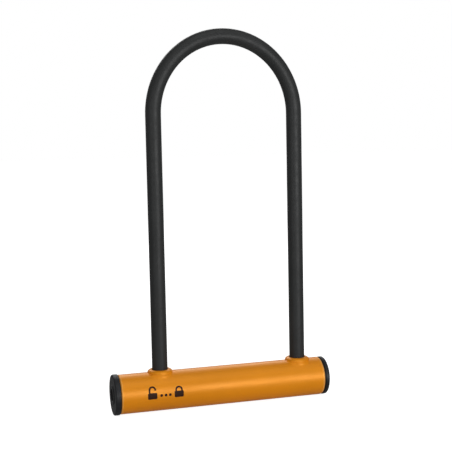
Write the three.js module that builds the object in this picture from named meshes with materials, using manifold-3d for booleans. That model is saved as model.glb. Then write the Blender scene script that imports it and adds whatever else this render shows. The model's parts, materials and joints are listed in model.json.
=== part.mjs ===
// A bicycle U lock: a coated steel shackle whose two feet drop into a tubular crossbar. A key plug at one
// end of the crossbar turns a barrel cam, and the cam slides a notched plate across both feet at once.
//
// Millimetres, +Z up. Every piece is modelled in the crossbar's own frame: X runs along the crossbar's
// axis with x = 0 midway between the legs, Y points to the back and z = 0 is the axis itself. The whole
// group is then moved so that the origin is the middle of the underside of the part's box.
// The rest state is unlocked with the shackle home: the plate stands clear of the feet.
import * as THREE from "three";
import { mergeVertices } from "three/addons/utils/BufferGeometryUtils.js";
import Module from "manifold-3d";

const wasm = await Module();
wasm.setup();

// ---- Driving dimensions -------------------------------------------------------------------------

const FIT = 0.3; // gap between pieces that touch or are pressed together
const RUN = 0.4; // gap between pieces that slide or turn

// Shackle
const LEG_X = 65.7; // half the distance between the legs' axes
const CORE_R = 5.9; // hardened steel rod
const COAT_BORE_R = 6.1;
const COAT_R = 7; // outside of the vinyl coat
const ARCH_Z = 246.8; // where the legs turn into the arch
const ARCH_RISE = 68.6; // height of the arch's centre line above that
const FOOT_Z = -13.6; // end of a leg inside the crossbar
const FOOT_CHAMFER = 1.2;

// Crossbar tube and its caps
const TUBE_R = 17.5;
const TUBE_BORE_R = 15;
const TUBE_X0 = -103.9;
const TUBE_X1 = 87.3;
const TUBE_CHAMFER = 0.8;
const CAP_WALL_R = 13.2; // inside of the ring that pushes into the tube
const KEY_CAP_R = 18.1;
const KEY_FACE_X = -109.2;
const KEY_CAP_BACK_X = -106.8; // inner face of the cap, in front of the lock cylinder
const KEY_HOLE_R = 5.5;
const KEY_RING_R = 9; // outside of the raised ring round the key hole
const KEY_RING_RISE = 0.7;
const KEY_CAP_RING_X = -101.8;
const BLANK_FACE_X = 92.1;
const BLANK_RING_X = 82;
const CAP_ROUND = 1.5;

// Collars that guide the legs in
const COLLAR_R = 11.2;
const COLLAR_WALL_Z = 17.4; // top of the collar's upright wall
const COLLAR_TOP_Z = 20;
const COLLAR_TOP_R = 7.8;
const SPIGOT_R = 9;
const SPIGOT_Z = 11.8;
const COAT_END_Z = 18; // the coat stops just inside the collar

// Guide blocks that hold each foot inside the tube
const BLOCK_R = TUBE_BORE_R - FIT;
const BLOCK_HALF = 11;
const GUIDE_PIN_R = 1.5;
const GUIDE_PIN_INSET = 8.7; // from the leg's axis towards the middle of the crossbar
const GUIDE_PIN_TOP_Z = -11.4;
const PIN_END_Z = -17.3; // outer end of every pin that goes in from underneath

// Lock plate, which slides by TRAVEL to lock
const TRAVEL = 4.5;
const PLATE_Z0 = -10.2;
const PLATE_Z1 = -7.6;
const PLATE_HALF_WIDTH = 8.5;
const PLATE_TAIL = 3; // from the follower to the plate's end
const WINDOW_HALF = CORE_R + 0.5;
const PLATE_TIP = WINDOW_HALF + 4; // from the right leg's axis to the plate's other end
const NOTCH_DEPTH = TRAVEL + 0.3;
const FOLLOWER_R = 1.3;
const FOLLOWER_TOP_Z = -4.9;

// Lock cylinder
const HOUSING_X0 = -106.4;
const HOUSING_X1 = -89.9;
const HOUSING_STEP_X = -101.4; // in front of this the housing is slimmer, inside the cap's ring
const HOUSING_FRONT_R = CAP_WALL_R - FIT;
const PLUG_R = 6;
const PLUG_BORE_R = 6.25;
const FLANGE_R = 6.8;
const FLANGE_DEPTH = 1.2;
const HOUSING_PIN_R = 2;
const HOUSING_PIN_X = -95;
const HOUSING_PIN_TOP_Z = -8;
const COVER_Z = 11.9;
const COVER_THICKNESS = 0.7;
const COVER_X0 = -104.2;
const COVER_X1 = -90.2;
const COVER_HALF_WIDTH = 2;
const GUARD_R = 1;
const GUARD_Y = 9.6;
const GUARD_LENGTH = 9;

// Pin stacks: one lower pin, one driver pin and one spring in each
const STACK_X = [-102.6, -99.2, -95.8, -92.4];
const KEY_PIN_FOOT_Z = [2.9, 1.7, 3.4, 2.2]; // each lower pin has its own length
const STACK_PIN_R = 1.15;
const CHAMBER_R = 1.4;
const SHEAR_Z = 5.8; // top of the lower pins, inside the plug's surface
const DRIVER_Z0 = 6.45;
const DRIVER_Z1 = 8.6;
const SPRING_Z0 = 8.95;
const SPRING_Z1 = 11.45;
const SPRING_R = 0.85;
const SPRING_WIRE_R = 0.18;
const SPRING_TURNS = 3.5;

// Plug tail: clip, cam and screw
const CLIP_X = -89.6;
const CLIP_THICKNESS = 0.8;
const CLIP_R = 7.4;
const CLIP_BORE_R = 5.2;
const CLIP_GROOVE_R = 5;
const CLIP_MOUTH = 6;
const PLUG_TAIL_X = -88.1;
const TANG_HALF = 2.2;
const TANG_X = -81.5;
const CAM_R = 7;
const CAM_X0 = -87.9;
const CAM_END = 2.8; // from the follower at each end of its travel to the end of the cam
const CAM_FLOOR_R = 4.6;
const GROOVE_STEPS = 10;
const SCREW_R = 1.5;
const SCREW_HEAD_R = 2.8;
const SCREW_HEAD_DEPTH = 1.4;
const SCREW_TIP_X = -85.2;

// Facets
const ROUND_LARGE = 36;
const ROUND_MEDIUM = 24;
const ROUND_SMALL = 12;
const ROD_CURVE_SEGMENTS = 8; // an arc shape gets twice as many sides
const SHACKLE_STEPS = 26;

const followerX = CAM_X0 + CAM_END; // where the follower stands at rest
const camX1 = followerX + TRAVEL + CAM_END;

// ---- Materials ----------------------------------------------------------------------------------

const material = (color, roughness, metalness) =>
  new THREE.MeshStandardMaterial({ color, roughness, metalness });

const orangePaint = material(0xe08e20, 0.38, 0.45);
const blackVinyl = material(0x2f3032, 0.5, 0);
const blackPlastic = material(0x37383a, 0.55, 0);
const hardSteel = material(0x8d9094, 0.35, 0.95);
const zincSteel = material(0xa9acb0, 0.4, 0.9);
const brass = material(0xb08d45, 0.35, 0.95);
const springSteel = material(0x6f7378, 0.3, 0.95);

// ---- Shape helpers ------------------------------------------------------------------------------

// A closed geometry as a manifold-3d solid, ready to be joined or cut.
function solid(geometry) {
  const bare = geometry.clone();
  bare.deleteAttribute("normal");
  bare.deleteAttribute("uv");
  const merged = mergeVertices(bare, 1e-4);
  const triVerts = new Uint32Array(merged.index.array);
  const vertProperties = merged.attributes.position.array;
  return new wasm.Manifold(new wasm.Mesh({ numProp: 3, vertProperties, triVerts }));
}

// A manifold-3d solid back as a three.js geometry.
function geometryOf(made) {
  const { numProp, vertProperties, triVerts } = made.getMesh();
  const positions = new Float32Array((vertProperties.length / numProp) * 3);
  for (let i = 0; i < positions.length / 3; i++)
    positions.set(vertProperties.subarray(i * numProp, i * numProp + 3), i * 3);
  const geometry = new THREE.BufferGeometry();
  geometry.setAttribute("position", new THREE.BufferAttribute(positions, 3));
  geometry.setIndex(new THREE.BufferAttribute(triVerts, 1));
  geometry.computeVertexNormals();
  return geometry;
}

const cut = (made, cutters) => cutters.reduce((left, cutter) => left.subtract(cutter), made);

// A rod along X.
function rodX(radius, x0, x1, y = 0, z = 0, sides = ROUND_SMALL) {
  const geometry = new THREE.CylinderGeometry(radius, radius, x1 - x0, sides);
  return geometry.rotateZ(-Math.PI / 2).translate((x0 + x1) / 2, y, z);
}

// A rod along Z.
function rodZ(radius, z0, z1, x = 0, y = 0, sides = ROUND_SMALL) {
  const geometry = new THREE.CylinderGeometry(radius, radius, z1 - z0, sides);
  return geometry.rotateX(Math.PI / 2).translate(x, y, (z0 + z1) / 2);
}

function block(x0, x1, y0, y1, z0, z1) {
  const geometry = new THREE.BoxGeometry(x1 - x0, y1 - y0, z1 - z0);
  return geometry.translate((x0 + x1) / 2, (y0 + y1) / 2, (z0 + z1) / 2);
}

// A turned shape. Each outline point is [distance along the axis, radius].
function turned(outline, sides) {
  const points = outline.map(([along, radius]) => new THREE.Vector2(radius, along));
  return new THREE.LatheGeometry(points, sides);
}

const turnedX = (outline, sides) => turned(outline, sides).rotateZ(-Math.PI / 2);
const turnedZ = (outline, sides, x) => turned(outline, sides).rotateX(Math.PI / 2).translate(x, 0, 0);

// Points of a quarter round from one axial direction to the other, for a turned outline.
function quarterRound(along, radius, size, from, to, steps = 3) {
  return Array.from({ length: steps + 1 }, (_, i) => {
    const angle = from + ((to - from) * i) / steps;
    return [along + size * Math.cos(angle), radius + size * Math.sin(angle)];
  });
}

// ---- Shackle ------------------------------------------------------------------------------------

// The shackle's centre line: up the left leg, over a half ellipse and down the right leg. It has one
// step on each straight leg, and the arch shares the rest.
class ShackleLine extends THREE.Curve {
  constructor(footZ) {
    super();
    this.footZ = footZ;
  }

  getPoint(t, target = new THREE.Vector3()) {
    const step = t * SHACKLE_STEPS;
    const archSteps = SHACKLE_STEPS - 2;
    if (step < 1) return target.set(-LEG_X, 0, this.footZ + step * (ARCH_Z - this.footZ));
    if (step > archSteps + 1)
      return target.set(LEG_X, 0, this.footZ + (SHACKLE_STEPS - step) * (ARCH_Z - this.footZ));
    const turn = (Math.PI * (step - 1)) / archSteps;
    return target.set(-LEG_X * Math.cos(turn), 0, ARCH_Z + ARCH_RISE * Math.sin(turn));
  }

  getPointAt(u, target) {
    return this.getPoint(u, target);
  }

  getTangentAt(u, target) {
    return this.getTangent(u, target);
  }
}

const disc = (radius) => new THREE.Shape().absarc(0, 0, radius, 0, 2 * Math.PI);

function alongShackle(section, footZ) {
  return new THREE.ExtrudeGeometry(section, {
    steps: SHACKLE_STEPS,
    curveSegments: ROD_CURVE_SEGMENTS,
    extrudePath: new ShackleLine(footZ),
  });
}

// The chamfer on a foot, as the ring that it removes.
function footChamfer(x) {
  const outside = CORE_R + 1;
  return turnedZ(
    [
      [FOOT_Z - 1, CORE_R - FOOT_CHAMFER - 1],
      [FOOT_Z - 1, outside],
      [FOOT_Z + FOOT_CHAMFER + 1, outside],
      [FOOT_Z - 1, CORE_R - FOOT_CHAMFER - 1],
    ],
    ROUND_MEDIUM,
    x,
  );
}

// The notch that the plate's edge slides into, on the left face of the foot.
function footNotch(x) {
  const face = x - CORE_R;
  return block(face - 1, face + NOTCH_DEPTH, -CORE_R - 1, CORE_R + 1, PLATE_Z0 - FIT, PLATE_Z1 + FIT);
}

function shackleCore() {
  const cutters = [-LEG_X, LEG_X].flatMap((x) => [solid(footChamfer(x)), solid(footNotch(x))]);
  return geometryOf(cut(solid(alongShackle(disc(CORE_R), FOOT_Z)), cutters));
}

function shackleCoat() {
  const section = disc(COAT_R);
  section.holes.push(new THREE.Path().absarc(0, 0, COAT_BORE_R, 0, 2 * Math.PI, true));
  return alongShackle(section, COAT_END_Z);
}

// ---- Crossbar -----------------------------------------------------------------------------------

function crossbarTube() {
  const outline = [
    [TUBE_X0, TUBE_BORE_R],
    [TUBE_X0, TUBE_R - TUBE_CHAMFER],
    [TUBE_X0 + TUBE_CHAMFER, TUBE_R],
    [TUBE_X1 - TUBE_CHAMFER, TUBE_R],
    [TUBE_X1, TUBE_R - TUBE_CHAMFER],
    [TUBE_X1, TUBE_BORE_R],
    [TUBE_X0, TUBE_BORE_R],
  ];
  const legHoles = [-LEG_X, LEG_X].map((x) => rodZ(SPIGOT_R + FIT, 5, TUBE_R + 1, x, 0, ROUND_MEDIUM));
  const guidePinHoles = [-1, 1].map((side) =>
    rodZ(GUIDE_PIN_R + FIT, -TUBE_R - 1, -10, side * (LEG_X - GUIDE_PIN_INSET)),
  );
  const housingPinHole = rodZ(HOUSING_PIN_R + FIT, -TUBE_R - 1, -10, HOUSING_PIN_X);
  const cutters = [...legHoles, ...guidePinHoles, housingPinHole].map(solid);
  return geometryOf(cut(solid(turnedX(outline, ROUND_LARGE)), cutters));
}

// The moulded cap at the key end: a disc with a raised ring round the key hole, and a ring that pushes
// into the tube over the front of the lock cylinder.
function keyEndCap() {
  const rimR = KEY_CAP_R - CAP_ROUND;
  const ringFaceX = KEY_FACE_X - KEY_RING_RISE;
  const outline = [
    [KEY_CAP_BACK_X, KEY_HOLE_R],
    [ringFaceX, KEY_HOLE_R],
    [ringFaceX, KEY_RING_R - KEY_RING_RISE],
    [KEY_FACE_X, KEY_RING_R],
    ...quarterRound(KEY_FACE_X + CAP_ROUND, rimR, CAP_ROUND, Math.PI, Math.PI / 2),
    [TUBE_X0 - FIT, KEY_CAP_R],
    [TUBE_X0 - FIT, TUBE_BORE_R - FIT],
    [KEY_CAP_RING_X, TUBE_BORE_R - FIT],
    [KEY_CAP_RING_X, CAP_WALL_R],
    [KEY_CAP_BACK_X, CAP_WALL_R],
    [KEY_CAP_BACK_X, KEY_HOLE_R],
  ];
  return turnedX(outline, ROUND_LARGE);
}

function blankEndCap() {
  const innerFaceX = BLANK_FACE_X - 2.6;
  const outline = [
    [innerFaceX, 0],
    [innerFaceX, CAP_WALL_R],
    [BLANK_RING_X, CAP_WALL_R],
    [BLANK_RING_X, TUBE_BORE_R - FIT],
    [TUBE_X1 + FIT, TUBE_BORE_R - FIT],
    [TUBE_X1 + FIT, TUBE_R],
    ...quarterRound(BLANK_FACE_X - CAP_ROUND, TUBE_R - CAP_ROUND, CAP_ROUND, Math.PI / 2, 0),
    [BLANK_FACE_X, 0],
  ];
  return turnedX(outline, ROUND_LARGE);
}

// A collar: a spigot through the tube's wall, an upright wall that stands on the tube and a rounded
// shoulder that closes in on the coated leg.
function collar(x) {
  const coatCounterbore = COAT_R + RUN;
  const shoulder = [0, 0.2, 0.4, 0.6, 0.8, 1].map((part) => {
    const rise = Math.sin((part * Math.PI) / 2);
    const reach = Math.cos((part * Math.PI) / 2);
    return [
      COLLAR_WALL_Z + (COLLAR_TOP_Z - COLLAR_WALL_Z) * rise,
      COLLAR_TOP_R + (COLLAR_R - COLLAR_TOP_R) * reach,
    ];
  });
  const outline = [
    [SPIGOT_Z, CORE_R + RUN],
    [SPIGOT_Z, COLLAR_R],
    ...shoulder,
    [COLLAR_TOP_Z, coatCounterbore],
    [COAT_END_Z - FIT, coatCounterbore],
    [COAT_END_Z - FIT, CORE_R + RUN],
    [SPIGOT_Z, CORE_R + RUN],
  ];
  const aroundSpigot = turnedZ(
    [
      [SPIGOT_Z - 1, SPIGOT_R],
      [SPIGOT_Z - 1, COLLAR_R + 1],
      [TUBE_R + 1, COLLAR_R + 1],
      [TUBE_R + 1, SPIGOT_R],
      [SPIGOT_Z - 1, SPIGOT_R],
    ],
    ROUND_MEDIUM,
    x,
  );
  const tube = rodX(TUBE_R + FIT, x - 2 * COLLAR_R, x + 2 * COLLAR_R, 0, 0, ROUND_LARGE);
  const saddle = solid(tube).intersect(solid(aroundSpigot));
  return geometryOf(solid(turnedZ(outline, ROUND_MEDIUM, x)).subtract(saddle));
}

// A block that carries one foot of the shackle and guides the lock plate under it.
function guideBlock(x) {
  const towardsMiddle = -Math.sign(x) * GUIDE_PIN_INSET;
  const slotHalf = PLATE_HALF_WIDTH + FIT;
  const reach = BLOCK_R + 1;
  const cutters = [
    rodZ(CORE_R + RUN, -reach, reach, x, 0, ROUND_MEDIUM),
    rodZ(SPIGOT_R + FIT, SPIGOT_Z - FIT, reach, x, 0, ROUND_MEDIUM),
    block(x - BLOCK_HALF - 1, x + BLOCK_HALF + 1, -slotHalf, slotHalf, PLATE_Z0 - FIT, PLATE_Z1 + FIT),
    rodZ(GUIDE_PIN_R + FIT, -reach, GUIDE_PIN_TOP_Z + FIT, x + towardsMiddle),
  ];
  const bar = rodX(BLOCK_R, x - BLOCK_HALF, x + BLOCK_HALF, 0, 0, ROUND_LARGE);
  return geometryOf(cut(solid(bar), cutters.map(solid)));
}

const guidePin = (side) =>
  rodZ(GUIDE_PIN_R, PIN_END_Z, GUIDE_PIN_TOP_Z, side * (LEG_X - GUIDE_PIN_INSET));

// ---- Lock plate ---------------------------------------------------------------------------------

// A rectangular window round each foot. Its left edge enters the foot's notch when the plate slides.
function lockPlate() {
  const x0 = followerX - PLATE_TAIL;
  const x1 = LEG_X + PLATE_TIP;
  const half = PLATE_HALF_WIDTH;
  const corner = 2;
  const outline = new THREE.Shape();
  const cornerCentres = [
    [x1 - corner, corner - half],
    [x1 - corner, half - corner],
    [x0 + corner, half - corner],
    [x0 + corner, corner - half],
  ];
  cornerCentres.forEach(([x, y], i) => {
    const start = ((i - 1) * Math.PI) / 2;
    outline.absarc(x, y, corner, start, start + Math.PI / 2);
  });
  const depth = PLATE_Z1 - PLATE_Z0;
  const slab = new THREE.ExtrudeGeometry(outline, { depth, bevelEnabled: false, curveSegments: 3 });
  slab.translate(0, 0, PLATE_Z0);
  const windows = [-LEG_X, LEG_X].map((x) =>
    block(x - WINDOW_HALF, x + WINDOW_HALF, -WINDOW_HALF, WINDOW_HALF, PLATE_Z0 - 1, PLATE_Z1 + 1),
  );
  const followerHole = rodZ(FOLLOWER_R + 0.2, PLATE_Z0 - 1, PLATE_Z1 + 1, followerX);
  return geometryOf(cut(solid(slab), [...windows, followerHole].map(solid)));
}

const followerPin = () => rodZ(FOLLOWER_R, PLATE_Z0, FOLLOWER_TOP_Z, followerX);

// ---- Lock cylinder ------------------------------------------------------------------------------

function cylinderHousing() {
  const outline = [
    [HOUSING_X0, FLANGE_R + FIT],
    [HOUSING_X0, HOUSING_FRONT_R],
    [HOUSING_STEP_X, HOUSING_FRONT_R],
    [HOUSING_STEP_X, BLOCK_R],
    [HOUSING_X1, BLOCK_R],
    [HOUSING_X1, PLUG_BORE_R],
    [HOUSING_X0 + FLANGE_DEPTH + FIT, PLUG_BORE_R],
    [HOUSING_X0 + FLANGE_DEPTH + FIT, FLANGE_R + FIT],
    [HOUSING_X0, FLANGE_R + FIT],
  ];
  const slotHalf = COVER_HALF_WIDTH + FIT;
  const cutters = [
    ...STACK_X.map((x) => rodZ(CHAMBER_R, SHEAR_Z - 1, BLOCK_R + 1, x)),
    block(COVER_X0 - FIT, COVER_X1 + FIT, -slotHalf, slotHalf, COVER_Z - FIT, BLOCK_R + 1),
    rodZ(HOUSING_PIN_R + FIT, -BLOCK_R - 1, HOUSING_PIN_TOP_Z + FIT, HOUSING_PIN_X),
    ...[-1, 1].map((side) =>
      rodX(GUARD_R + 0.2, HOUSING_X0 - 1, HOUSING_X0 + GUARD_LENGTH + FIT, side * GUARD_Y),
    ),
  ];
  return geometryOf(cut(solid(turnedX(outline, ROUND_LARGE)), cutters.map(solid)));
}

const housingPin = () => rodZ(HOUSING_PIN_R, PIN_END_Z, HOUSING_PIN_TOP_Z, HOUSING_PIN_X);

const chamberCover = () =>
  block(COVER_X0, COVER_X1, -COVER_HALF_WIDTH, COVER_HALF_WIDTH, COVER_Z, COVER_Z + COVER_THICKNESS);

const drillGuard = (side) => rodX(GUARD_R, HOUSING_X0 + 0.2, HOUSING_X0 + GUARD_LENGTH, side * GUARD_Y);

// A lower pin with a conical foot, which a key's cuts would lift to the shear line.
function keyPin(x, footZ) {
  const outline = [
    [footZ, 0],
    [footZ, 0.35],
    [footZ + 0.8, STACK_PIN_R],
    [SHEAR_Z, STACK_PIN_R],
    [SHEAR_Z, 0],
  ];
  return turnedZ(outline, ROUND_SMALL, x);
}

const driverPin = (x) => rodZ(STACK_PIN_R, DRIVER_Z0, DRIVER_Z1, x);

class Helix extends THREE.Curve {
  constructor(x, radius, z0, z1, turns) {
    super();
    Object.assign(this, { x, radius, z0, z1, turns });
  }

  getPoint(t, target = new THREE.Vector3()) {
    const angle = 2 * Math.PI * this.turns * t;
    const z = this.z0 + (this.z1 - this.z0) * t;
    return target.set(this.x + this.radius * Math.cos(angle), this.radius * Math.sin(angle), z);
  }
}

function driverSpring(x) {
  const corners = [0, 1, 2, 3].map((i) => {
    const angle = (i * Math.PI) / 2;
    return new THREE.Vector2(SPRING_WIRE_R * Math.cos(angle), SPRING_WIRE_R * Math.sin(angle));
  });
  const wire = new THREE.Shape(corners);
  const path = new Helix(x, SPRING_R, SPRING_Z0, SPRING_Z1, SPRING_TURNS);
  return new THREE.ExtrudeGeometry(wire, { steps: 8 * SPRING_TURNS, extrudePath: path });
}

// ---- Plug and cam -------------------------------------------------------------------------------

function plug() {
  const flangeBack = HOUSING_X0 + FLANGE_DEPTH;
  const grooveX0 = CLIP_X - 0.15;
  const grooveX1 = CLIP_X + CLIP_THICKNESS + 0.15;
  const outline = [
    [HOUSING_X0, 0],
    [HOUSING_X0, FLANGE_R],
    [flangeBack, FLANGE_R],
    [flangeBack, PLUG_R],
    [grooveX0, PLUG_R],
    [grooveX0, CLIP_GROOVE_R],
    [grooveX1, CLIP_GROOVE_R],
    [grooveX1, PLUG_R],
    [PLUG_TAIL_X, PLUG_R],
    [PLUG_TAIL_X, 0],
  ];
  const tang = block(PLUG_TAIL_X - 1, TANG_X, -TANG_HALF, TANG_HALF, -TANG_HALF, TANG_HALF);
  const cutters = [
    block(HOUSING_X0 - 1, STACK_X[3] + 2.2, -0.6, 0.6, -3.6, 3.9),
    block(HOUSING_X0 - 1, STACK_X[3] + 2.2, -1.3, 0, -1.9, 0.3),
    ...STACK_X.map((x) => rodZ(CHAMBER_R, 1, PLUG_R + 1, x)),
    rodX(SCREW_R + 0.25, SCREW_TIP_X - FIT, TANG_X + 1),
  ];
  const body = solid(turnedX(outline, ROUND_MEDIUM)).add(solid(tang));
  return geometryOf(cut(body, cutters.map(solid)));
}

// A snap ring in the plug's groove, open at the back.
function plugClip() {
  const outline = [
    [CLIP_X, CLIP_BORE_R],
    [CLIP_X, CLIP_R],
    [CLIP_X + CLIP_THICKNESS, CLIP_R],
    [CLIP_X + CLIP_THICKNESS, CLIP_BORE_R],
    [CLIP_X, CLIP_BORE_R],
  ];
  const half = CLIP_MOUTH / 2;
  const mouth = block(CLIP_X - 1, CLIP_X + CLIP_THICKNESS + 1, 0, CLIP_R + 1, -half, half);
  return geometryOf(solid(turnedX(outline, ROUND_MEDIUM)).subtract(solid(mouth)));
}

// A barrel cam. The follower stands straight below the axis, so at a plug angle it meets the barrel
// at the opposite angle from there, and the groove climbs by TRAVEL in a quarter turn.
function camBarrel() {
  const squareHalf = TANG_HALF + 0.25;
  const headX = camX1 - SCREW_HEAD_DEPTH - FIT;
  const bores = [
    block(CAM_X0 - 1, TANG_X + FIT, -squareHalf, squareHalf, -squareHalf, squareHalf),
    rodX(SCREW_R + 0.25, TANG_X, camX1 + 1),
    rodX(SCREW_HEAD_R + FIT, headX, camX1 + 1, 0, 0, ROUND_MEDIUM),
  ];
  const groove = Array.from({ length: GROOVE_STEPS + 1 }, (_, i) => {
    const share = i / GROOVE_STEPS;
    const cutter = rodZ(FOLLOWER_R + FIT, -CAM_R - 1, -CAM_FLOOR_R, followerX + TRAVEL * share);
    return cutter.rotateX((-share * Math.PI) / 2);
  });
  const barrel = solid(rodX(CAM_R, CAM_X0, camX1, 0, 0, ROUND_MEDIUM));
  return geometryOf(cut(barrel, [...bores, ...groove].map(solid)));
}

function camScrew() {
  const headX = camX1 - SCREW_HEAD_DEPTH;
  const shank = solid(rodX(SCREW_R, SCREW_TIP_X, headX + 0.5));
  const head = solid(rodX(SCREW_HEAD_R, headX, camX1 - 0.1, 0, 0, ROUND_SMALL));
  const socket = solid(rodX(1.25, camX1 - 0.9, camX1 + 1, 0, 0, 6));
  return geometryOf(shank.add(head).subtract(socket));
}

// ---- The assembly -------------------------------------------------------------------------------

const lock = new THREE.Group();

function place(name, geometry, look) {
  const mesh = new THREE.Mesh(geometry, look);
  mesh.name = name;
  lock.add(mesh);
}

place("shackle_core", shackleCore(), hardSteel);
place("shackle_coat", shackleCoat(), blackVinyl);

place("crossbar_tube", crossbarTube(), orangePaint);
place("key_end_cap", keyEndCap(), blackPlastic);
place("blank_end_cap", blankEndCap(), blackPlastic);
for (const [name, side] of [["left", -1], ["right", 1]]) {
  place(`${name}_collar`, collar(side * LEG_X), orangePaint);
  place(`${name}_guide_block`, guideBlock(side * LEG_X), zincSteel);
  place(`${name}_guide_pin`, guidePin(side), zincSteel);
}

place("lock_plate", lockPlate(), hardSteel);
place("follower_pin", followerPin(), hardSteel);

place("cylinder_housing", cylinderHousing(), zincSteel);
place("housing_pin", housingPin(), zincSteel);
place("chamber_cover", chamberCover(), brass);
place("drill_guard_pin_1", drillGuard(-1), hardSteel);
place("drill_guard_pin_2", drillGuard(1), hardSteel);
STACK_X.forEach((x, i) => {
  place(`key_pin_${i + 1}`, keyPin(x, KEY_PIN_FOOT_Z[i]), brass);
  place(`driver_pin_${i + 1}`, driverPin(x), brass);
  place(`driver_spring_${i + 1}`, driverSpring(x), springSteel);
});

place("plug", plug(), brass);
place("plug_clip", plugClip(), springSteel);
place("cam_barrel", camBarrel(), zincSteel);
place("cam_screw", camScrew(), hardSteel);

const boxMiddleX = (KEY_FACE_X - KEY_RING_RISE + BLANK_FACE_X) / 2;
lock.position.set(-boxMiddleX, 0, KEY_CAP_R);

const part = new THREE.Group();
part.add(lock);

export default part;
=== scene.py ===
"""A bicycle U lock: a black coated shackle in an orange metallic crossbar, on a pale studio floor.

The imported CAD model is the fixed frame. This script replaces what shows on the outside with finely made
pieces, gives every other node a material, and adds the printed mark, the camera, the lights and the floor.
Outlines are written in millimetres in the crossbar's own frame: x = 0 midway between the legs, z = 0 on the
crossbar's axis. PLACE turns them into the model's frame, in metres.
"""

import json
import math

import bmesh
import bpy
from mathutils import Matrix, Vector, noise

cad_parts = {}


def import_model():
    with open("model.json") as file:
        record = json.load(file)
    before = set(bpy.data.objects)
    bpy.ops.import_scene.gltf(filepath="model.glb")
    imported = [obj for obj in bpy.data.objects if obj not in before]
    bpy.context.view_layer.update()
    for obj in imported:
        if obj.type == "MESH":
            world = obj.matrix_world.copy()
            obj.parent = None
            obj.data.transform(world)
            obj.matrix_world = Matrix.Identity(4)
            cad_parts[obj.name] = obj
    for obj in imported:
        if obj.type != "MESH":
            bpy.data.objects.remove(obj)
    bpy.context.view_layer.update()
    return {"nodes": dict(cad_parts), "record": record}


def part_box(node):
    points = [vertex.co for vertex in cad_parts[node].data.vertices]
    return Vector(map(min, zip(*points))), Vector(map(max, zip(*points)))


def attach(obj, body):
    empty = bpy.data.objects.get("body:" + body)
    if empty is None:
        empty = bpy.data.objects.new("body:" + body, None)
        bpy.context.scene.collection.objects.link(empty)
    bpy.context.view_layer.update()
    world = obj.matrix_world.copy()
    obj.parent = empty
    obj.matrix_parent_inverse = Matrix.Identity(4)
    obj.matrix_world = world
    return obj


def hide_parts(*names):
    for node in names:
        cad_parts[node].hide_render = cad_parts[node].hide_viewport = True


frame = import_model()

# ---- Sizes ------------------------------------------------------------------------------------------

MM = 0.001


def box_mm(node):
    """A CAD node's lowest and highest corners, in millimetres."""
    low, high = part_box(node)
    return low / MM, high / MM


tube_low, tube_high = box_mm("crossbar_tube")
coat_low, coat_high = box_mm("shackle_coat")
core_low, core_high = box_mm("shackle_core")
collar_low, collar_high = box_mm("left_collar")
key_low, key_high = box_mm("key_end_cap")
blank_low, blank_high = box_mm("blank_end_cap")

ORIGIN = Vector(((coat_low.x + coat_high.x) / 2, 0, (tube_low.z + tube_high.z) / 2))
PLACE = Matrix.Scale(MM, 4) @ Matrix.Translation(ORIGIN)

# Shackle
COAT_R = (coat_high.y - coat_low.y) / 2
CORE_R = 5.9
LEG_X = (coat_high.x - coat_low.x) / 2 - COAT_R
ARCH_RISE = 68.6
ARCH_Z = coat_high.z - ORIGIN.z - COAT_R - ARCH_RISE
FOOT_Z = core_low.z - ORIGIN.z
COAT_END_Z = coat_low.z - ORIGIN.z

# Crossbar
TUBE_R = (tube_high.z - tube_low.z) / 2
TUBE_BORE_R = 15
TUBE_X0 = tube_low.x - ORIGIN.x
TUBE_X1 = tube_high.x - ORIGIN.x
LEG_HOLE_R = 9.3
KEY_CAP_R = (key_high.z - key_low.z) / 2
KEY_TIP_X = key_low.x - ORIGIN.x
KEY_CAP_BACK_X = -106.8
KEY_CAP_RING_X = -101.8
KEY_HOLE_R = 5.5
BLANK_X1 = blank_high.x - ORIGIN.x
BLANK_X0 = blank_low.x - ORIGIN.x
CAP_RING_R = 14.7
CAP_WALL_R = 13.2

# Collars
COLLAR_TOP_Z = collar_high.z - ORIGIN.z
SPIGOT_Z = collar_low.z - ORIGIN.z
SPIGOT_R = 9

# Lock plate's notches in the feet
NOTCH_Z0 = -10.5
NOTCH_Z1 = -7.3
NOTCH_DEPTH = 4.8

ROUND = 128  # facets round a large piece
ROUND_SMALL = 48


# ---- Mesh helpers -----------------------------------------------------------------------------------


def mesh_piece(name, points, faces, sharp_angle=32):
    """A new object from points in millimetres in the crossbar's frame, smooth apart from sharp edges."""
    mesh = bpy.data.meshes.new(name)
    mesh.from_pydata([PLACE @ Vector(p) for p in points], [], faces)
    tidy_mesh(mesh, sharp_angle)
    piece = bpy.data.objects.new(name, mesh)
    bpy.context.scene.collection.objects.link(piece)
    return piece


def tidy_mesh(mesh, sharp_angle=32):
    """Joins doubled points, turns the faces outwards and shades the mesh smooth between sharp edges."""
    work = bmesh.new()
    work.from_mesh(mesh)
    bmesh.ops.remove_doubles(work, verts=work.verts, dist=1e-7)
    bmesh.ops.recalc_face_normals(work, faces=work.faces)
    work.to_mesh(mesh)
    work.free()
    mesh.polygons.foreach_set("use_smooth", [True] * len(mesh.polygons))
    mesh.set_sharp_from_angle(angle=math.radians(sharp_angle))


def rings_to_faces(ring_count, size, wrap):
    """Quads between neighbouring rings of the same size. wrap also joins the last ring to the first."""
    faces = []
    for i in range(ring_count if wrap else ring_count - 1):
        a, b = i * size, ((i + 1) % ring_count) * size
        for j in range(size):
            k = (j + 1) % size
            faces.append((a + j, a + k, b + k, b + j))
    return faces


def from_rings(name, rings, wrap=False, sharp_angle=32):
    """A solid through rings of points. Without wrap, the first and last rings are closed with faces."""
    size = len(rings[0])
    faces = rings_to_faces(len(rings), size, wrap)
    if not wrap:
        last = (len(rings) - 1) * size
        faces.append(tuple(range(size)))
        faces.append(tuple(range(last, last + size)))
    return mesh_piece(name, [p for ring in rings for p in ring], faces, sharp_angle)


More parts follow.
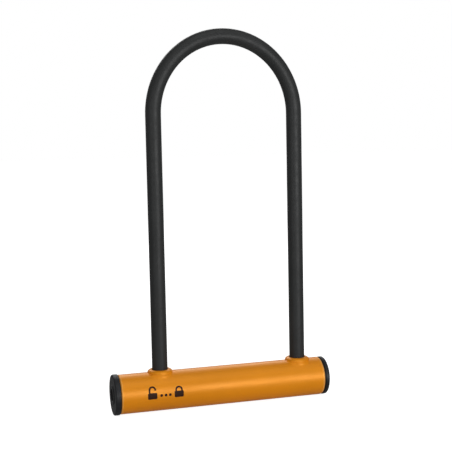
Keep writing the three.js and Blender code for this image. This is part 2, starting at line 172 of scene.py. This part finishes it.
def rounded(outline, closed=True, steps=6):
    """An outline of (along, radius, rounding) corners, with each corner made into an arc."""
    points = []
    for i, (along, radius, size) in enumerate(outline):
        here = Vector((along, radius))
        if size == 0 or (not closed and i in (0, len(outline) - 1)):
            points.append(tuple(here))
            continue
        before = Vector(outline[i - 1][:2]) - here
        after = Vector(outline[(i + 1) % len(outline)][:2]) - here
        half = before.angle(after) / 2
        reach = min(size / math.tan(half), 0.49 * before.length, 0.49 * after.length)
        arc = reach * math.tan(half)
        middle = (before.normalized() + after.normalized()).normalized()
        centre = here + middle * (arc / math.sin(half))
        start = here + before.normalized() * reach - centre
        end = here + after.normalized() * reach - centre
        turn = start.angle_signed(end)
        for step in range(steps + 1):
            points.append(tuple(centre + Matrix.Rotation(-turn * step / steps, 2) @ start))
    return points


def divided(points, longest, closed=True):
    """The same outline with no stretch longer than that."""
    result = []
    count = len(points) if closed else len(points) - 1
    for i in range(count):
        a, b = Vector(points[i]), Vector(points[(i + 1) % len(points)])
        parts = max(1, math.ceil((b - a).length / longest))
        result += [tuple(a.lerp(b, part / parts)) for part in range(parts)]
    return result if closed else result + [points[-1]]


def turned_x(name, outline, closed=True, sides=ROUND, sharp_angle=32):
    """A piece turned about the crossbar's axis. An open outline is closed with a face at each end."""
    angles = [2 * math.pi * j / sides for j in range(sides)]
    rings = [[(x, r * math.cos(a), r * math.sin(a)) for a in angles] for x, r in outline]
    return from_rings(name, rings, closed, sharp_angle)


def turned_z(name, outline, x, closed=True, sides=ROUND_SMALL):
    """A piece turned about a vertical axis at x."""
    angles = [2 * math.pi * j / sides for j in range(sides)]
    rings = [[(x + r * math.cos(a), r * math.sin(a), z) for a in angles] for z, r in outline]
    return from_rings(name, rings, closed)


def cut(piece, cutters, sharp_angle=32):
    """Takes the cutters away from the piece, and removes them."""
    for cutter in cutters:
        modifier = piece.modifiers.new("cut", "BOOLEAN")
        modifier.operation = "DIFFERENCE"
        modifier.solver = "EXACT"
        modifier.object = cutter
    bpy.context.view_layer.update()
    evaluated = piece.evaluated_get(bpy.context.evaluated_depsgraph_get())
    result = bpy.data.meshes.new_from_object(evaluated)
    piece.modifiers.clear()
    piece.data = result
    for cutter in cutters:
        bpy.data.objects.remove(cutter)
    tidy_mesh(piece.data, sharp_angle)


def round_normals_x(piece, radius, tolerance=0.02):
    """Gives the faces on a cylinder about the crossbar's axis the cylinder's own normals, where cuts left
    long thin faces."""
    mesh = piece.data
    axis = PLACE @ Vector((0, 0, 0))
    normals = []
    for face in mesh.polygons:
        for loop in face.loop_indices:
            point = mesh.vertices[mesh.loops[loop].vertex_index].co - axis
            outward = Vector((0, point.y, point.z))
            on_radius = abs(outward.length / MM - radius) < tolerance
            along = outward.normalized().dot(face.normal) if on_radius else 0
            normals.append(outward.normalized() if along > 0.98 else mesh.corner_normals[loop].vector)
    mesh.normals_split_custom_set(normals)


def block(name, low, high):
    """A cutter: a plain box between two corners."""
    corners = [(x, y, z) for x in (low[0], high[0]) for y in (low[1], high[1]) for z in (low[2], high[2])]
    faces = [(0, 1, 3, 2), (4, 6, 7, 5), (0, 4, 5, 1), (2, 3, 7, 6), (0, 2, 6, 4), (1, 5, 7, 3)]
    return mesh_piece(name, corners, faces)


# ---- Node helpers -----------------------------------------------------------------------------------


class Nodes:
    """A short way to build one material's nodes on the model's own coordinates."""

    def __init__(self, name):
        self.material = bpy.data.materials.new(name)
        self.material.use_nodes = True
        self.tree = self.material.node_tree
        self.shader = self.tree.nodes["Principled BSDF"]
        self.where = self.tree.nodes.new("ShaderNodeTexCoord").outputs["Object"]

    def set(self, **values):
        """Sets values that are the same all over the surface."""
        for name, value in values.items():
            self.shader.inputs[name.replace("_", " ").title().replace("Ior", "IOR")].default_value = value

    def link(self, output, node, name):
        self.tree.links.new(output, node.inputs[name])

    def axis(self, name):
        """One axis of the coordinates, in metres."""
        node = self.tree.nodes.new("ShaderNodeSeparateXYZ")
        self.link(self.where, node, "Vector")
        return node.outputs[name]

    def stretched(self, scale):
        """The coordinates with each axis scaled."""
        mapping = self.tree.nodes.new("ShaderNodeMapping")
        mapping.inputs["Scale"].default_value = scale
        self.link(self.where, mapping, "Vector")
        return mapping.outputs["Vector"]

    def noise(self, size_mm, detail=3, roughness=0.5, where=None):
        """Noise with features of about that size."""
        node = self.tree.nodes.new("ShaderNodeTexNoise")
        node.inputs["Scale"].default_value = 1 / (size_mm * MM)
        node.inputs["Detail"].default_value = detail
        node.inputs["Roughness"].default_value = roughness
        self.link(where or self.where, node, "Vector")
        return node.outputs["Fac"]

    def cells(self, size_mm, output="Color"):
        """Cells of about that size, each with its own value or with the distance from its middle."""
        node = self.tree.nodes.new("ShaderNodeTexVoronoi")
        node.inputs["Scale"].default_value = 1 / (size_mm * MM)
        self.link(self.where, node, "Vector")
        return node.outputs[output]

    def span(self, value, low, high, to_low=0.0, to_high=1.0):
        """Maps a value from one range to another, clamped."""
        node = self.tree.nodes.new("ShaderNodeMapRange")
        node.inputs["From Min"].default_value = low
        node.inputs["From Max"].default_value = high
        node.inputs["To Min"].default_value = to_low
        node.inputs["To Max"].default_value = to_high
        self.link(value, node, "Value")
        return node.outputs["Result"]

    def maths(self, operation, a, b):
        node = self.tree.nodes.new("ShaderNodeMath")
        node.operation = operation
        for socket, value in zip(node.inputs, (a, b)):
            if isinstance(value, (int, float)):
                socket.default_value = value
            else:
                self.tree.links.new(value, socket)
        return node.outputs["Value"]

    def mix(self, share, a, b):
        """Mixes two colours, each given as a tuple or another node's output."""
        node = self.tree.nodes.new("ShaderNodeMix")
        node.data_type = "RGBA"
        self.tree.links.new(share, node.inputs["Factor"])
        for socket, value in ((node.inputs[6], a), (node.inputs[7], b)):
            if isinstance(value, tuple):
                socket.default_value = (*value, 1)
            else:
                self.tree.links.new(value, socket)
        return node.outputs[2]

    def colour(self, output):
        self.link(output, self.shader, "Base Color")

    def roughness(self, output):
        self.link(output, self.shader, "Roughness")

    def bump(self, height, depth_mm, before=None):
        """A bump of that depth in millimetres, on top of an earlier bump."""
        node = self.tree.nodes.new("ShaderNodeBump")
        node.inputs["Distance"].default_value = depth_mm * MM
        self.link(height, node, "Height")
        if before:
            self.link(before, node, "Normal")
        self.link(node.outputs["Normal"], self.shader, "Normal")
        return node.outputs["Normal"]


# ---- Materials --------------------------------------------------------------------------------------

# Where the painted highlight at each end of the tube begins, in metres.
HIGHLIGHT_RIM_KEY_END = tube_low.x * MM + 1.2 * MM
HIGHLIGHT_RIM_BLANK_END = tube_high.x * MM - 1.6 * MM


def orange_paint():
    """Satin metallic orange: fine flake, a little orange peel, a faint drift in colour, and a painted
    highlight: a paler rim at the tube's ends, where they were rounded over and catch the light."""
    nodes = Nodes("orange_paint")
    drift = nodes.span(nodes.noise(38, 2), 0.35, 0.65)
    base = nodes.mix(drift, (0.80, 0.25, 0.001), (0.86, 0.272, 0.002))
    flake = nodes.span(nodes.cells(0.16), 0.0, 1.0, 0.0, 0.14)
    lit = nodes.mix(flake, base, (1.0, 0.5, 0.03))
    speck = nodes.span(nodes.noise(2.2, 4, 0.65), 0.66, 0.74, 0.0, 0.28)
    worn = nodes.mix(speck, lit, (0.42, 0.14, 0.01))
    # Painted highlight: a paler band at each end of the tube, standing in for the light caught on the
    # rounded ends.
    along = nodes.axis("X")
    ragged = nodes.span(nodes.noise(3, 3), 0.3, 0.7, -0.25 * MM, 0.25 * MM)
    place = nodes.maths("ADD", along, ragged)
    key_end = nodes.span(place, HIGHLIGHT_RIM_KEY_END, HIGHLIGHT_RIM_KEY_END + 0.7 * MM, 1.0, 0.0)
    blank_end = nodes.span(place, HIGHLIGHT_RIM_BLANK_END - 0.5 * MM, HIGHLIGHT_RIM_BLANK_END)
    rim = nodes.maths("MAXIMUM", key_end, blank_end)
    nodes.colour(nodes.mix(nodes.maths("MULTIPLY", rim, 0.4), worn, (0.92, 0.5, 0.14)))
    smear = nodes.noise(9, 5, 0.6, nodes.stretched((0.25, 1, 1)))
    nodes.roughness(nodes.span(smear, 0.3, 0.7, 0.36, 0.46))
    peel = nodes.bump(nodes.noise(1.3, 2, 0.4), 0.012)
    nodes.bump(nodes.cells(0.16, "Distance"), 0.004, peel)
    nodes.set(metallic=0.12, specular_ior_level=0.55, specular_tint=(1.0, 0.88, 0.5, 1))
    return nodes.material


def vinyl_coat():
    """Dipped vinyl: nearly black, satin, with fine grain and soft handling marks."""
    nodes = Nodes("vinyl_coat")
    drift = nodes.span(nodes.noise(26, 3), 0.3, 0.7)
    base = nodes.mix(drift, (0.020, 0.0212, 0.0212), (0.026, 0.0272, 0.0275))
    dust = nodes.span(nodes.noise(1.1, 5, 0.7), 0.6, 0.8, 0.0, 0.35)
    nodes.colour(nodes.mix(dust, base, (0.05, 0.051, 0.052)))
    rub = nodes.noise(5, 5, 0.62)
    nodes.roughness(nodes.span(rub, 0.3, 0.7, 0.42, 0.56))
    sag = nodes.bump(nodes.noise(7, 2, 0.4), 0.05)
    nodes.bump(nodes.noise(0.35, 3, 0.6), 0.01, sag)
    nodes.set(specular_ior_level=0.32)
    return nodes.material


def black_plastic():
    """Moulded plastic with an eroded grain."""
    nodes = Nodes("black_plastic")
    drift = nodes.span(nodes.noise(6, 3), 0.3, 0.7)
    nodes.colour(nodes.mix(drift, (0.010, 0.0107, 0.0125), (0.015, 0.0157, 0.0175)))
    nodes.roughness(nodes.span(nodes.noise(3, 4, 0.6), 0.3, 0.7, 0.42, 0.56))
    grain = nodes.bump(nodes.noise(0.3, 4, 0.65), 0.018)
    nodes.bump(nodes.noise(1.4, 2), 0.02, grain)
    nodes.set(specular_ior_level=0.34)
    return nodes.material


def steel(name, low, high, rough, brushed, scale_mm=1.5):
    """A metal with fine machining lines along one direction and small stains."""
    nodes = Nodes(name)
    stain = nodes.span(nodes.noise(4, 4, 0.6), 0.35, 0.7)
    nodes.colour(nodes.mix(stain, low, high))
    lines = nodes.noise(scale_mm, 6, 0.7, nodes.stretched(brushed))
    nodes.roughness(nodes.span(lines, 0.3, 0.7, rough - 0.08, rough + 0.1))
    nodes.bump(lines, 0.012)
    nodes.set(metallic=1.0)
    return nodes.material


def mark_ink():
    """Dark brown pad-printed ink, slightly uneven."""
    nodes = Nodes("mark_ink")
    patchy = nodes.span(nodes.noise(0.6, 4, 0.6), 0.35, 0.75)
    nodes.colour(nodes.mix(patchy, (0.024, 0.008, 0.003), (0.05, 0.017, 0.006)))
    nodes.roughness(nodes.span(nodes.noise(0.4, 2), 0.3, 0.7, 0.42, 0.6))
    nodes.bump(nodes.noise(0.25, 2), 0.004)
    nodes.set(specular_ior_level=0.15)
    return nodes.material


MATERIALS = {
    "orange_paint": orange_paint(),
    "vinyl_coat": vinyl_coat(),
    "black_plastic": black_plastic(),
    "hardened_steel": steel("hardened_steel", (0.30, 0.31, 0.33), (0.40, 0.41, 0.43), 0.32, (1, 1, 0.08)),
    "zinc_steel": steel("zinc_steel", (0.46, 0.47, 0.50), (0.60, 0.61, 0.62), 0.38, (0.2, 1, 1), 2.5),
    "brass": steel("brass", (0.52, 0.34, 0.11), (0.66, 0.46, 0.18), 0.34, (0.1, 1, 1)),
    "spring_steel": steel("spring_steel", (0.22, 0.23, 0.25), (0.30, 0.31, 0.33), 0.28, (1, 1, 1), 0.8),
}
INK = mark_ink()


def finish_piece(piece, body, slot, replaces=(), material=None):
    """Rides a new piece on its body and gives it its slot's material."""
    piece.data.materials.clear()
    piece.data.materials.append(material or MATERIALS[slot])
    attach(piece, body)
    if replaces:
        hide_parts(*replaces)


# ---- Shackle ----------------------------------------------------------------------------------------


def shackle_stations(foot_z, leg_step=6.0, arch_steps=72):
    """Points and inward directions along the shackle's centre line, from the left foot to the right."""
    leg_steps = math.ceil((ARCH_Z - foot_z) / leg_step)
    climb = [foot_z + (ARCH_Z - foot_z) * i / leg_steps for i in range(leg_steps)]
    left = [(Vector((-LEG_X, 0, z)), Vector((1, 0, 0))) for z in climb]
    arch = []
    for i in range(arch_steps + 1):
        turn = math.pi * i / arch_steps
        point = Vector((-LEG_X * math.cos(turn), 0, ARCH_Z + ARCH_RISE * math.sin(turn)))
        along = Vector((LEG_X * math.sin(turn), 0, ARCH_RISE * math.cos(turn))).normalized()
        arch.append((point, Vector((along.z, 0, -along.x))))
    right = [(Vector((LEG_X, 0, z)), Vector((-1, 0, 0))) for z in reversed(climb)]
    return left + arch + right


def station_ring(point, inward, radius, sides):
    """A ring round the centre line. radius is a number or a function of a unit direction."""
    ring = []
    for j in range(sides):
        angle = 2 * math.pi * j / sides
        out = inward * math.cos(angle) + Vector((0, math.sin(angle), 0))
        size = radius(point, out) if callable(radius) else radius
        ring.append(point + out * size)
    return ring


def end_rings(station, downward, profile, sides):
    """Rings that close in at one end. profile holds (distance past the station, radius)."""
    point, inward = station
    return [station_ring(point + downward * past, inward, radius, sides) for past, radius in profile]


def shackle_coat():
    """The vinyl coat: a little uneven as dipped vinyl is, with a soft lip at each end."""
    sides = 64
    lip = 0.6
    down = Vector((0, 0, -1))
    unevenness = 0.03
    mean_r = COAT_R - unevenness

    def uneven(point, out):
        ripple = noise.noise((point + out * 9) * 0.045)
        return mean_r + unevenness * ripple

    stations = shackle_stations(COAT_END_Z + lip)
    arc = [math.pi / 2 * i / 5 for i in range(6)]
    lip_out = [(lip * math.sin(a), mean_r - lip * (1 - math.cos(a))) for a in arc]
    inner_r = CORE_R + 0.12
    outer = [station_ring(point, inward, uneven, sides) for point, inward in stations]
    first = end_rings(stations[0], down, lip_out, sides)
    last = end_rings(stations[-1], down, lip_out, sides)
    inside = [station_ring(point, inward, inner_r, sides) for point, inward in stations]
    inner_first = end_rings(stations[0], down, [(lip, inner_r)], sides)
    inner_last = end_rings(stations[-1], down, [(lip, inner_r)], sides)
    rings = first[:0:-1] + outer + last[1:] + inner_last + inside[::-1] + inner_first
    piece = from_rings("shackle_coat_skin", rings, wrap=True)
    finish_piece(piece, "shackle", "vinyl_coat", ["shackle_coat"])


def shackle_core():
    """The bare rod: rounded chamfers on both feet, and the notch that the plate enters."""
    sides = 48
    chamfer = 1.2
    down = Vector((0, 0, -1))
    stations = shackle_stations(FOOT_Z + chamfer, leg_step=12)
    tip = [(0.25, CORE_R - 0.08), (0.5, CORE_R - 0.3), (1.0, CORE_R - 0.8), (chamfer, CORE_R - 1.2)]
    first = end_rings(stations[0], down, tip, sides)
    last = end_rings(stations[-1], down, tip, sides)
    body = [station_ring(point, inward, CORE_R, sides) for point, inward in stations]
    piece = from_rings("shackle_rod", first[::-1] + body + last)
    cutters = []
    for x in (-LEG_X, LEG_X):
        face = x - CORE_R
        low = (face - 2, -CORE_R - 2, NOTCH_Z0)
        cutters.append(block("notch", low, (face + NOTCH_DEPTH, CORE_R + 2, NOTCH_Z1)))
    cut(piece, cutters)
    finish_piece(piece, "shackle", "hardened_steel", ["shackle_core"])


# ---- Crossbar ---------------------------------------------------------------------------------------


def crossbar_tube():
    """The tube, with softened ends, the legs' holes and the roll pins' countersunk holes."""
    outline = rounded(
        [
            (TUBE_X0, TUBE_BORE_R, 0.3),
            (TUBE_X0, TUBE_R, 1.1),
            (TUBE_X1, TUBE_R, 1.1),
            (TUBE_X1, TUBE_BORE_R, 0.3),
        ],
        steps=8,
    )
    piece = turned_x("crossbar_tube_shell", divided(outline, 8), sides=ROUND)
    cutters = [
        turned_z("leg_hole", [(6, LEG_HOLE_R), (TUBE_R + 3, LEG_HOLE_R)], x, closed=False)
        for x in (-LEG_X, LEG_X)
    ]
    for x, radius in PIN_HOLES:
        outline = [(-10, radius + 0.12), (-TUBE_R + 0.35, radius + 0.12), (-TUBE_R - 1, radius + 1.47)]
        cutters.append(turned_z("pin_hole", outline, x, closed=False))
    cut(piece, cutters)
    round_normals_x(piece, TUBE_R)
    finish_piece(piece, "crossbar", "orange_paint", ["crossbar_tube"])


def node_middle_x(node):
    low, high = box_mm(node)
    return (low.x + high.x) / 2 - ORIGIN.x


def node_radius(node):
    low, high = box_mm(node)
    return (high.y - low.y) / 2


PIN_NODES = ["left_guide_pin", "right_guide_pin", "housing_pin"]
PIN_HOLES = [(node_middle_x(node), node_radius(node)) for node in PIN_NODES]


def roll_pins():
    """Slotted spring pins: a C-shaped section with a tapered lead at each end."""
    for node in PIN_NODES:
        low, high = box_mm(node)
        x, radius = node_middle_x(node), node_radius(node)
        z0, z1 = low.z - ORIGIN.z, high.z - ORIGIN.z
        wall = radius * 0.36
        lead = radius * 0.3
        outline = [
            (z0, radius - wall),
            (z0, radius - 0.2 * lead - 0.1),
            (z0 + lead, radius),
            (z1 - lead, radius),
            (z1, radius - 0.2 * lead - 0.1),
            (z1, radius - wall),
        ]
        piece = turned_z(f"{node}_roll", outline, x, sides=56)
        slit = block("slit", (x - 0.18, 0, z0 - 1), (x + 0.18, radius + 1, z1 + 1))
        cut(piece, [slit])
        finish_piece(piece, "crossbar", "spring_steel", [node])


def key_end_cap():
    """The key end's moulded cap: a crowned rim, a shallow dish and a raised ring round the key hole."""
    face = KEY_TIP_X + 0.7
    back = TUBE_X0 - 0.3
    outline = rounded(
        [
            (KEY_CAP_BACK_X, KEY_HOLE_R, 0.15),
            (KEY_TIP_X, KEY_HOLE_R, 0.45),
            (KEY_TIP_X, 8.3, 0.5),
            (face + 0.15, 8.9, 0.35),
            (face + 0.15, 14.9, 0.5),
            (face, 15.6, 0.3),
            (face, KEY_CAP_R, 1.5),
            (back, KEY_CAP_R, 0.35),
            (back, CAP_RING_R, 0),
            (KEY_CAP_RING_X, CAP_RING_R, 0.4),
            (KEY_CAP_RING_X, CAP_WALL_R, 0.3),
            (KEY_CAP_BACK_X, CAP_WALL_R, 0.2),
        ],
        steps=8,
    )
    piece = turned_x("key_end_cap_moulding", outline, sides=ROUND)
    finish_piece(piece, "crossbar", "black_plastic", ["key_end_cap"])


def blank_end_cap():
    """The far end's plain cap: a shadow groove beside the tube, a rounded rim and a faint dish."""
    inner = BLANK_X1 - 2.6
    back = TUBE_X1 + 0.3
    groove_r = TUBE_R - 1.1
    groove_end = back + 0.9
    outline = rounded(
        [
            (inner, 1.0, 0),
            (inner, CAP_WALL_R, 0.3),
            (BLANK_X0, CAP_WALL_R, 0.3),
            (BLANK_X0, CAP_RING_R, 0.4),
            (back, CAP_RING_R, 0),
            (back, groove_r, 0.1),
            (groove_end, groove_r, 0.15),
            (groove_end, TUBE_R, 0.25),
            (BLANK_X1, TUBE_R, 1.7),
            (BLANK_X1, 14.6, 0.3),
            (BLANK_X1 - 0.2, 13.9, 0.4),
            (BLANK_X1 - 0.2, 1.0, 0),
        ],
        closed=False,
        steps=8,
    )
    piece = turned_x("blank_end_cap_moulding", outline, closed=False, sides=ROUND)
    finish_piece(piece, "crossbar", "black_plastic", ["blank_end_cap"])


def on_tube(radius, angle):
    """Height of the tube's surface under a point of a circle round a leg."""
    return math.sqrt(TUBE_R**2 - (radius * math.sin(angle)) ** 2)


def leg_ring(x, r, angles, height):
    """A ring of points round a leg. height is a number or a function of the angle."""
    ring = []
    for a in angles:
        z = height(a) if callable(height) else height
        ring.append((x + r * math.cos(a), r * math.sin(a), z))
    return ring


def collar(name, x):
    """A collar: a low dome that closes in on the leg, an upright wall that reaches down to the tube and a
    painted fillet round its foot."""
    wall_r = 11.15
    rise = 2.6  # height of the dome
    wall_top = COLLAR_TOP_Z - rise
    lip_r = 7.75
    flare = 1.2  # how softly the dome runs out into the tube
    fillet = 1.5
    bore = 6.3
    mouth = COAT_R + 0.4
    inner = rounded(
        [(SPIGOT_Z, SPIGOT_R, 0.3), (SPIGOT_Z, bore, 0.4), (COAT_END_Z - 0.3, bore, 0.3)],
        closed=False,
        steps=3,
    )
    inner += rounded(
        [(COAT_END_Z - 0.3, bore, 0), (COAT_END_Z - 0.3, mouth, 0.2), (COLLAR_TOP_Z - 0.15, mouth, 0)],
        closed=False,
        steps=3,
    )[1:]
    inner += [(COLLAR_TOP_Z - 0.04, mouth + 0.05), (COLLAR_TOP_Z, mouth + 0.16)]
    sides = 96
    angles = [2 * math.pi * j / sides for j in range(sides)]
    rings = [leg_ring(x, r, angles, z) for z, r in inner]

    # Every ring of the dome is eased into the tube where the tube stands higher than the wall's top.
    for i in range(17):
        turn = math.pi / 2 * i / 16
        level = wall_top + rise * max(0, math.cos(turn))
        r = lip_r + (wall_r - lip_r) * math.sin(turn)
        ease = flare * math.sin(turn) ** 2

        def eased(a):
            above = level - on_tube(r, a)
            return on_tube(r, a) + (above + math.hypot(above, ease)) / 2

        rings.append(leg_ring(x, r, angles, eased))

    # Below the dome every ring follows the tube: the wall, the fillet and the hidden underside. Each angle's
    # fillet is as large as the wall above it has room for.
    shoulders = [point[2] for point in rings[-1]]
    feet = [on_tube(wall_r, a) for a in angles]
    rooms = [min(fillet, 0.8 * (high - foot)) for high, foot in zip(shoulders, feet)]
    for i in range(1, 4):
        rings.append([])
        for a, high, foot, room in zip(angles, shoulders, feet, rooms):
            z = high + (foot + room - high) * i / 3
            rings[-1].append((x + wall_r * math.cos(a), wall_r * math.sin(a), z))
    steps = 7
    for i in range(1, steps + 1):
        turn = math.pi / 2 * i / steps
        rings.append([])
        for a, room in zip(angles, rooms):
            r = wall_r + room * (1 - math.cos(turn))
            height = max(0.015, room * (1 - math.sin(turn)))
            rings[-1].append((x + r * math.cos(a), r * math.sin(a), on_tube(r, a) + height))
    for r, sink in ((wall_r - 0.05, 0.25), (SPIGOT_R + 0.2, 0.25), (SPIGOT_R, 0.5)):
        rings.append([(x + r * math.cos(a), r * math.sin(a), on_tube(r, a) - sink) for a in angles])
    piece = from_rings(f"{name}_dome", rings, wrap=True, sharp_angle=50)
    finish_piece(piece, "crossbar", "orange_paint", [name])


# ---- Printed mark -----------------------------------------------------------------------------------


def stroke(points, width):
    """A flat ribbon along points, as (x, up) outline pairs on each side."""
    left, right = [], []
    for i, point in enumerate(points):
        before = points[max(i - 1, 0)]
        after = points[min(i + 1, len(points) - 1)]
        side = (Vector(after) - Vector(before)).normalized().orthogonal() * width / 2
        left.append(Vector(point) + side)
        right.append(Vector(point) - side)
    return left, right


def arc_points(centre, radius, start, end, steps=14):
    """Points along an arc between two angles in degrees."""
    turns = [math.radians(start + (end - start) * i / steps) for i in range(steps + 1)]
    return [(centre[0] + radius * math.cos(a), centre[1] + radius * math.sin(a)) for a in turns]


class Print:
    """Flat ink shapes laid on the tube's front, as thin solids that follow its curve."""

    LIFT = 0.02
    THICKNESS = 0.03

    def __init__(self):
        self.points = []
        self.faces = []

    def wrap(self, point, lift):
        """A point (x, up along the tube's curve), laid on the front of the tube."""
        radius = TUBE_R + lift
        angle = point[1] / TUBE_R
        return (point[0], -radius * math.cos(angle), radius * math.sin(angle))

    def band(self, inner, outer, closed):
        """A strip between two lines of the same length."""
        start = len(self.points)
        count = len(inner)
        for lift in (self.LIFT, self.LIFT + self.THICKNESS):
            for line in (inner, outer):
                self.points += [self.wrap(p, lift) for p in line]
        spans = count if closed else count - 1
        low_in, low_out, high_in, high_out = (start + i * count for i in range(4))
        for i in range(spans):
            j = (i + 1) % count
            self.faces.append((high_in + i, high_out + i, high_out + j, high_in + j))
            self.faces.append((low_in + i, low_in + j, low_out + j, low_out + i))
            self.faces.append((low_in + i, high_in + i, high_in + j, low_in + j))
            self.faces.append((low_out + i, low_out + j, high_out + j, high_out + i))
        if not closed:
            for i in (0, count - 1):
                self.faces.append((low_in + i, low_out + i, high_out + i, high_in + i))

    def line(self, points, width):
        left, right = stroke(points, width)
        self.band(left, right, closed=False)

    def dot(self, centre, radius):
        outer = arc_points(centre, radius, 0, 345, 23)
        inner = arc_points(centre, radius * 0.02, 0, 345, 23)
        self.band(inner, outer, closed=True)

    def padlock(self, x, up, size, open_shackle):
        """A plain padlock pictogram: a solid body and a bow. Both are made of short steps up the tube, so
        that they follow its curve."""
        half_w, half_h, corner = size * 0.4, size * 0.27, size * 0.08
        left, right = [], []
        for i in range(19):
            level = half_h * (i / 9 - 1)
            past = max(0, abs(level) - half_h + corner)
            reach = half_w - corner + math.sqrt(corner**2 - min(past, corner) ** 2)
            left.append((x - reach, up - size * 0.2 + level))
            right.append((x + reach, up - size * 0.2 + level))
        self.band(left, right, closed=False)

        bow = size * 0.25
        base = up + size * 0.06
        shift = size * 0.16 if open_shackle else 0
        shoulder = base + size * 0.1 + shift
        rise = [(x - bow, base + (shoulder - base) * i / 6) for i in range(6)]
        over = arc_points((x, shoulder), bow, 180, 0)
        end = shoulder - size * 0.06 if open_shackle else base
        fall = [(x + bow, shoulder + (end - shoulder) * i / 4) for i in range(1, 5)]
        self.line(rise + over + fall, size * 0.15)


def printed_mark():
    """Open padlock, three dots, closed padlock: the two states that the key turns between."""
    ink = Print()
    middle_x = -64.6
    up = 2.3
    size = 10.4
    reach = 12.0
    ink.padlock(middle_x - reach, up, size, open_shackle=True)
    ink.padlock(middle_x + reach, up, size, open_shackle=False)
    for step in (-1, 0, 1):
        ink.dot((middle_x + step * 3.9, up - size * 0.2), 1.25)
    piece = mesh_piece("printed_mark", ink.points, ink.faces)
    finish_piece(piece, "crossbar", "black_plastic", material=INK)


# ---- Build ------------------------------------------------------------------------------------------

shackle_coat()
shackle_core()
crossbar_tube()
roll_pins()
key_end_cap()
blank_end_cap()
collar("left_collar", -LEG_X)
collar("right_collar", LEG_X)
printed_mark()

for row in frame["record"]["subparts"]:
    node = frame["nodes"][row["node"]]
    node.data.materials.clear()
    node.data.materials.append(MATERIALS[row["material_slot"]])
    if node.hide_render:
        continue
    softened = node.modifiers.new("softened_edges", "BEVEL")
    softened.width = 0.12 * MM
    softened.segments = 2
    softened.limit_method = "ANGLE"
    softened.angle_limit = math.radians(40)

# ---- Studio -----------------------------------------------------------------------------------------

FLOOR_GLOW = 0.9
WORLD_LIGHT = 0.22


def floor():
    """A plain pale floor. To the camera it glows softly, so that it stays pale under low light. It shows
    the lock's shadow and throws a little light back, but isn't mirrored in the lock."""
    half = 12.0
    corners = [(-half, -half, 0), (half, -half, 0), (half, half, 0), (-half, half, 0)]
    mesh = bpy.data.meshes.new("floor")
    mesh.from_pydata(corners, [], [(0, 1, 2, 3)])
    piece = bpy.data.objects.new("floor", mesh)
    bpy.context.scene.collection.objects.link(piece)
    material = bpy.data.materials.new("floor_paper")
    material.use_nodes = True
    shader = material.node_tree.nodes["Principled BSDF"]
    shader.inputs["Base Color"].default_value = (0.6, 0.6, 0.6, 1)
    shader.inputs["Roughness"].default_value = 0.95
    shader.inputs["Specular IOR Level"].default_value = 0.0
    shader.inputs["Emission Color"].default_value = (1, 1, 1, 1)
    glow = material.node_tree.nodes.new("ShaderNodeMath")
    glow.operation = "MULTIPLY"
    glow.inputs[1].default_value = FLOOR_GLOW
    seen = material.node_tree.nodes.new("ShaderNodeLightPath").outputs["Is Camera Ray"]
    material.node_tree.links.new(seen, glow.inputs[0])
    material.node_tree.links.new(glow.outputs["Value"], shader.inputs["Emission Strength"])
    mesh.materials.append(material)
    piece.visible_glossy = False


def world():
    """A white backdrop to the camera, and a dimmer even light on the lock."""
    scene_world = bpy.data.worlds.new("studio")
    bpy.context.scene.world = scene_world
    scene_world.use_nodes = True
    tree = scene_world.node_tree
    background = tree.nodes["Background"]
    seen = tree.nodes.new("ShaderNodeLightPath").outputs["Is Camera Ray"]
    level = tree.nodes.new("ShaderNodeMapRange")
    level.inputs["To Min"].default_value = WORLD_LIGHT
    level.inputs["To Max"].default_value = 1.0
    tree.links.new(seen, level.inputs["Value"])
    tree.links.new(level.outputs["Result"], background.inputs["Strength"])
    background.inputs["Color"].default_value = (1, 1, 1, 1)


def softbox(name, azimuth, elevation, distance, width, height, power):
    """An area light that faces the lock. Azimuth 0 is straight in front and grows to the right."""
    aim = Vector((0, 0, 0.12))
    a, e = math.radians(azimuth), math.radians(elevation)
    back = Vector((math.sin(a) * math.cos(e), -math.cos(a) * math.cos(e), math.sin(e)))
    light = bpy.data.lights.new(name, "AREA")
    light.shape = "RECTANGLE"
    light.size, light.size_y = width, height
    light.energy = power
    lamp = bpy.data.objects.new(name, light)
    lamp.location = aim + back * distance
    lamp.rotation_euler = back.to_track_quat("Z", "Y").to_euler()
    bpy.context.scene.collection.objects.link(lamp)


def camera():
    """The camera looks at a point on the lock's middle plane, from the key end's side and slightly down."""
    azimuth, elevation, roll = math.radians(-16.61), math.radians(5.26), math.radians(-1.16)
    distance = 0.8563
    target = PLACE @ Vector((-1.0, 0, 145.8))
    back = Vector(
        (
            math.sin(azimuth) * math.cos(elevation),
            -math.cos(azimuth) * math.cos(elevation),
            math.sin(elevation),
        )
    )
    data = bpy.data.cameras.new("camera")
    data.sensor_width = 36
    data.lens = 75.3
    data.clip_end = 50
    lens = bpy.data.objects.new("camera", data)
    turn = back.to_track_quat("Z", "Y").to_matrix() @ Matrix.Rotation(roll, 3, "Z")
    lens.matrix_world = Matrix.Translation(target + back * distance) @ turn.to_4x4()
    bpy.context.scene.collection.objects.link(lens)
    bpy.context.scene.camera = lens


floor()
world()
softbox("key", 19, 4, 1.3, 0.85, 0.6, 8.4)
softbox("front", -38, 4, 1.5, 1.0, 0.45, 2.6)
softbox("top", 10, 65, 1.5, 1.2, 1.2, 4.6)
softbox("back", 175, 32, 1.6, 1.4, 0.8, 9.0)
camera()

scene = bpy.context.scene
scene.view_settings.view_transform = "Standard"

bpy.context.view_layer.update()
